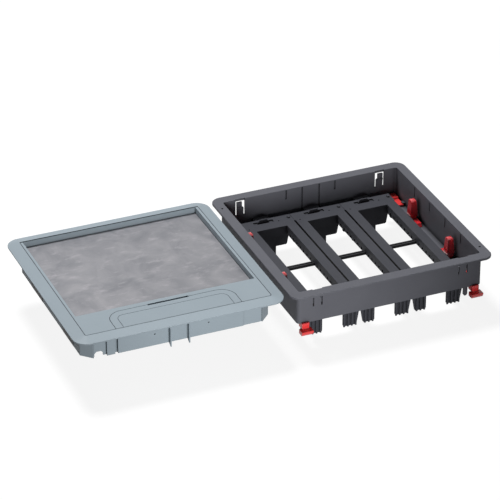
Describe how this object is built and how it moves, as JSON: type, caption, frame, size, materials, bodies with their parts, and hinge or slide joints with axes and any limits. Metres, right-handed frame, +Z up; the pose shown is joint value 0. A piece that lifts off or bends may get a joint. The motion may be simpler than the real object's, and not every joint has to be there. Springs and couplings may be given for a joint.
{
  "type": "floor socket box",
  "caption": "Square floor socket box with lift-out frames for wiring modules, lock levers and floor claws, and a lift-off cover with a hinged lid, flush lifting handle and cable flap.",
  "frame": {"origin": "centre of the box at floor level, on the plane of the underside of the box flange, midway between its two screw holes", "axes": "+X to the box's right, +Y to its back, +Z up; the cover lies taken off at the box's left, at -X"},
  "size_m": [0.5853, 0.29, 0.0891],
  "materials": {
    "box_plastic": "matte anthracite plastic",
    "frame_plastic": "matte dark anthracite plastic",
    "bar_plastic": "matte black plastic",
    "lever_red": "glossy red plastic",
    "claw_red": "satin red plastic",
    "clip_black": "matte black plastic",
    "pin_steel": "plain steel",
    "cover_grey": "satin blue-grey plastic",
    "zinc_sheet": "galvanised sheet"
  },
  "bodies": {
    "box": {"box_frame": "box_plastic", "lever_pins": "pin_steel"},
    "frame_1": {"module_frame_1": "frame_plastic", "cross_bar_1": "bar_plastic"},
    "frame_2": {"module_frame_2": "frame_plastic", "cross_bar_2": "bar_plastic"},
    "frame_3": {"module_frame_3": "frame_plastic", "cross_bar_3": "bar_plastic"},
    "lever_front_left": {"lock_lever_front_left": "lever_red"},
    "lever_back_left": {"lock_lever_back_left": "lever_red"},
    "lever_front_right": {"lock_lever_front_right": "lever_red"},
    "lever_back_right": {"lock_lever_back_right": "lever_red"},
    "claw_front_left": {"floor_claw_front_left": "claw_red"},
    "claw_back_left": {"floor_claw_back_left": "claw_red"},
    "claw_front_right": {"floor_claw_front_right": "claw_red"},
    "claw_back_right": {"floor_claw_back_right": "claw_red"},
    "cover": {"cover_frame": "cover_grey", "side_clip_front_left": "clip_black", "side_clip_back_left": "clip_black", "side_clip_front_right": "clip_black", "side_clip_back_right": "clip_black", "lid_pins": "pin_steel"},
    "lid": {"lid": "cover_grey", "lid_plate": "zinc_sheet", "handle_pins": "pin_steel"},
    "handle": {"lift_handle": "cover_grey"},
    "flap": {"cable_flap": "cover_grey"}
  },
  "joints": [
    {"name": "frame_1_lift_out", "type": "slide", "parent": "box", "child": "frame_1", "axis": [0, 0, 1], "range_m": [0, 0.09]},
    {"name": "frame_2_lift_out", "type": "slide", "parent": "box", "child": "frame_2", "axis": [0, 0, 1], "range_m": [0, 0.09]},
    {"name": "frame_3_lift_out", "type": "slide", "parent": "box", "child": "frame_3", "axis": [0, 0, 1], "range_m": [0, 0.09]},
    {"name": "lever_front_left_hinge", "type": "hinge", "parent": "box", "child": "lever_front_left", "pos_m": [-0.1218, -0.057, -0.0378], "axis": [1, 0, 0], "range_deg": [0, 25]},
    {"name": "lever_back_left_hinge", "type": "hinge", "parent": "box", "child": "lever_back_left", "pos_m": [-0.1218, 0.057, -0.0378], "axis": [-1, 0, 0], "range_deg": [0, 25]},
    {"name": "lever_front_right_hinge", "type": "hinge", "parent": "box", "child": "lever_front_right", "pos_m": [0.1218, -0.057, -0.0378], "axis": [1, 0, 0], "range_deg": [0, 25]},
    {"name": "lever_back_right_hinge", "type": "hinge", "parent": "box", "child": "lever_back_right", "pos_m": [0.1218, 0.057, -0.0378], "axis": [-1, 0, 0], "range_deg": [0, 25]},
    {"name": "claw_front_left_slide", "type": "slide", "parent": "box", "child": "claw_front_left", "axis": [0, 1, 0], "range_m": [0, 0.005]},
    {"name": "claw_back_left_slide", "type": "slide", "parent": "box", "child": "claw_back_left", "axis": [0, -1, 0], "range_m": [0, 0.005]},
    {"name": "claw_front_right_slide", "type": "slide", "parent": "box", "child": "claw_front_right", "axis": [0, 1, 0], "range_m": [0, 0.005]},
    {"name": "claw_back_right_slide", "type": "slide", "parent": "box", "child": "claw_back_right", "axis": [0, -1, 0], "range_m": [0, 0.005]},
    {"name": "cover_lift_off", "type": "slide", "parent": "box", "child": "cover", "axis": [0, 0, 1], "range_m": [0, 0.1]},
    {"name": "lid_hinge", "type": "hinge", "parent": "cover", "child": "lid", "pos_m": [-0.2963, 0.1252, 0.00465], "axis": [-1, 0, 0], "range_deg": [0, 95]},
    {"name": "handle_hinge", "type": "hinge", "parent": "lid", "child": "handle", "pos_m": [-0.2963, -0.12635, 0.0048], "axis": [1, 0, 0], "range_deg": [0, 80]},
    {"name": "flap_hinge", "type": "hinge", "parent": "lid", "child": "flap", "pos_m": [-0.2963, -0.12635, 0.0048], "axis": [1, 0, 0], "range_deg": [0, 80]}
  ]
}
